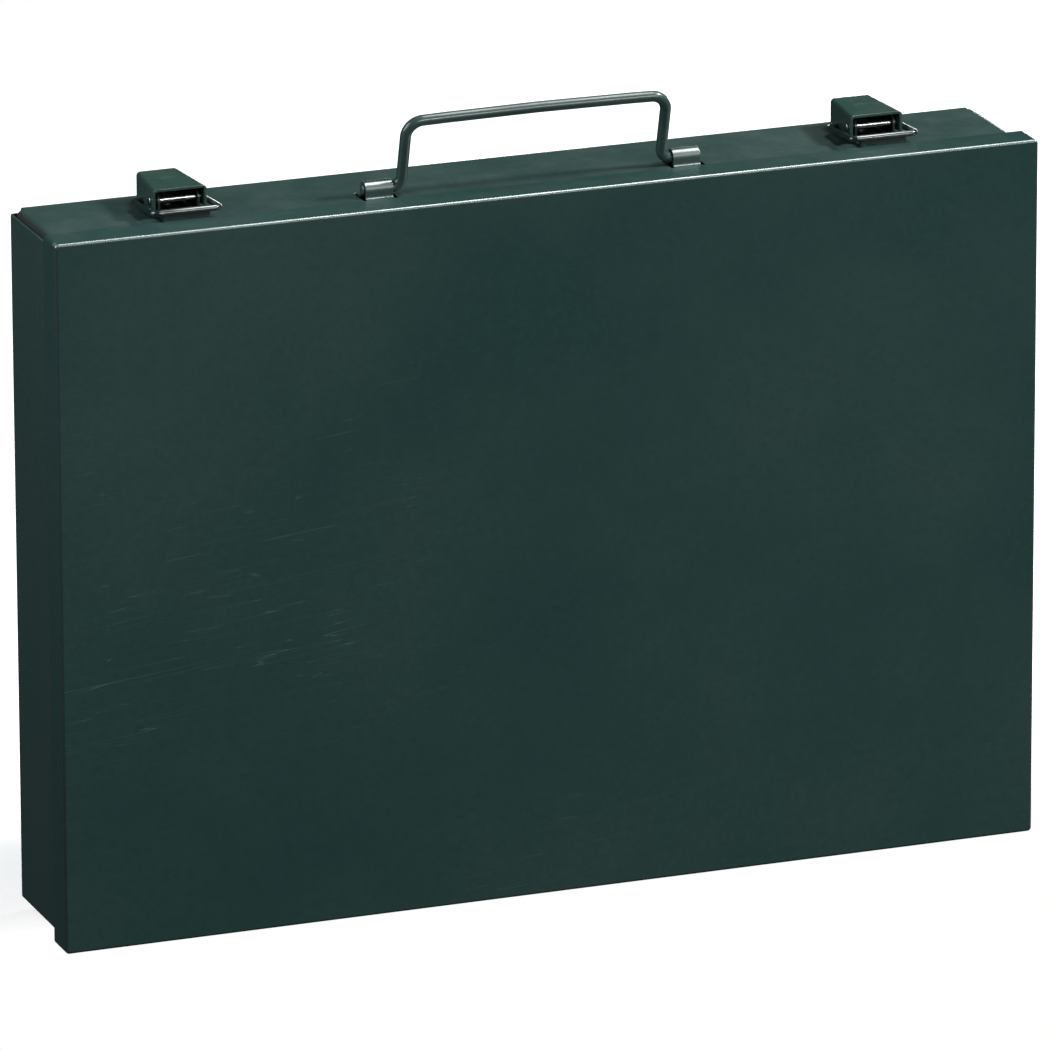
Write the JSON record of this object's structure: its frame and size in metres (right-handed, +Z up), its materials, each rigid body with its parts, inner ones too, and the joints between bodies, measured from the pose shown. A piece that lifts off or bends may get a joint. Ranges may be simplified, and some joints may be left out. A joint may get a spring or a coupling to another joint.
{
  "type": "compartment storage box",
  "caption": "Flat sheet steel compartment box with a lapping hinged lid, draw latches, a swinging wire handle and half-lapped dividers inside.",
  "frame": {"origin": "middle of the footprint, at the lowest point, the underside of the hinge barrel", "axes": "+X along the box's width, +Y from the lid's face towards the back panel, +Z up towards the handle"},
  "size_m": [0.34, 0.051, 0.2679],
  "materials": {
    "body_paint": "satin grey-green enamel",
    "lid_paint": "satin grey-green enamel, a shade darker",
    "hinge_steel": "painted over the leaf, rubbed at the knuckles",
    "handle_steel": "glossy dark enamel on wire",
    "latch_steel": "glossy grey enamel on stamped steel",
    "bail_steel": "dark bright-drawn wire",
    "pin_steel": "bright steel",
    "divider_paint": "satin grey enamel"
  },
  "bodies": {
    "box": {"body_pan": "body_paint", "body_hinge_leaf": "hinge_steel", "hinge_pin": "pin_steel", "left_latch_base": "latch_steel", "left_latch_pin": "pin_steel", "left_latch_rivets": "pin_steel", "right_latch_base": "latch_steel", "right_latch_pin": "pin_steel", "right_latch_rivets": "pin_steel", "row_divider_1": "divider_paint", "row_divider_2": "divider_paint", "row_divider_3": "divider_paint", "cross_divider_1": "divider_paint", "cross_divider_2": "divider_paint", "cross_divider_3": "divider_paint"},
    "lid": {"lid_pan": "lid_paint", "lid_hinge_leaf": "hinge_steel"},
    "handle": {"carry_handle": "handle_steel"},
    "left_lever": {"left_latch_lever": "latch_steel"},
    "left_bail": {"left_latch_bail": "bail_steel"},
    "right_lever": {"right_latch_lever": "latch_steel"},
    "right_bail": {"right_latch_bail": "bail_steel"}
  },
  "joints": [
    {"name": "lid_hinge", "type": "hinge", "parent": "box", "child": "lid", "pos_m": [0, -0.0117, 0.0015], "axis": [1, 0, 0], "range_deg": [0, 180]},
    {"name": "handle_swing", "type": "hinge", "parent": "box", "child": "handle", "pos_m": [0, -0.0043, 0.24245], "axis": [1, 0, 0], "range_deg": [-105, 67]},
    {"name": "left_latch_lift", "type": "hinge", "parent": "box", "child": "left_lever", "pos_m": [-0.1208, -0.0015, 0.2455], "axis": [1, 0, 0], "range_deg": [0, 95]},
    {"name": "left_bail_swing", "type": "hinge", "parent": "left_lever", "child": "left_bail", "pos_m": [-0.1208, 0.009, 0.2427], "axis": [1, 0, 0], "range_deg": [-142.5, 0]},
    {"name": "right_latch_lift", "type": "hinge", "parent": "box", "child": "right_lever", "pos_m": [0.1208, -0.0015, 0.2455], "axis": [1, 0, 0], "range_deg": [0, 95]},
    {"name": "right_bail_swing", "type": "hinge", "parent": "right_lever", "child": "right_bail", "pos_m": [0.1208, 0.009, 0.2427], "axis": [1, 0, 0], "range_deg": [-142.5, 0]}
  ],
  "couplings": [
    {"joint": "left_bail_swing", "follows": "left_latch_lift", "ratio": -1.5},
    {"joint": "right_bail_swing", "follows": "right_latch_lift", "ratio": -1.5}
  ]
}
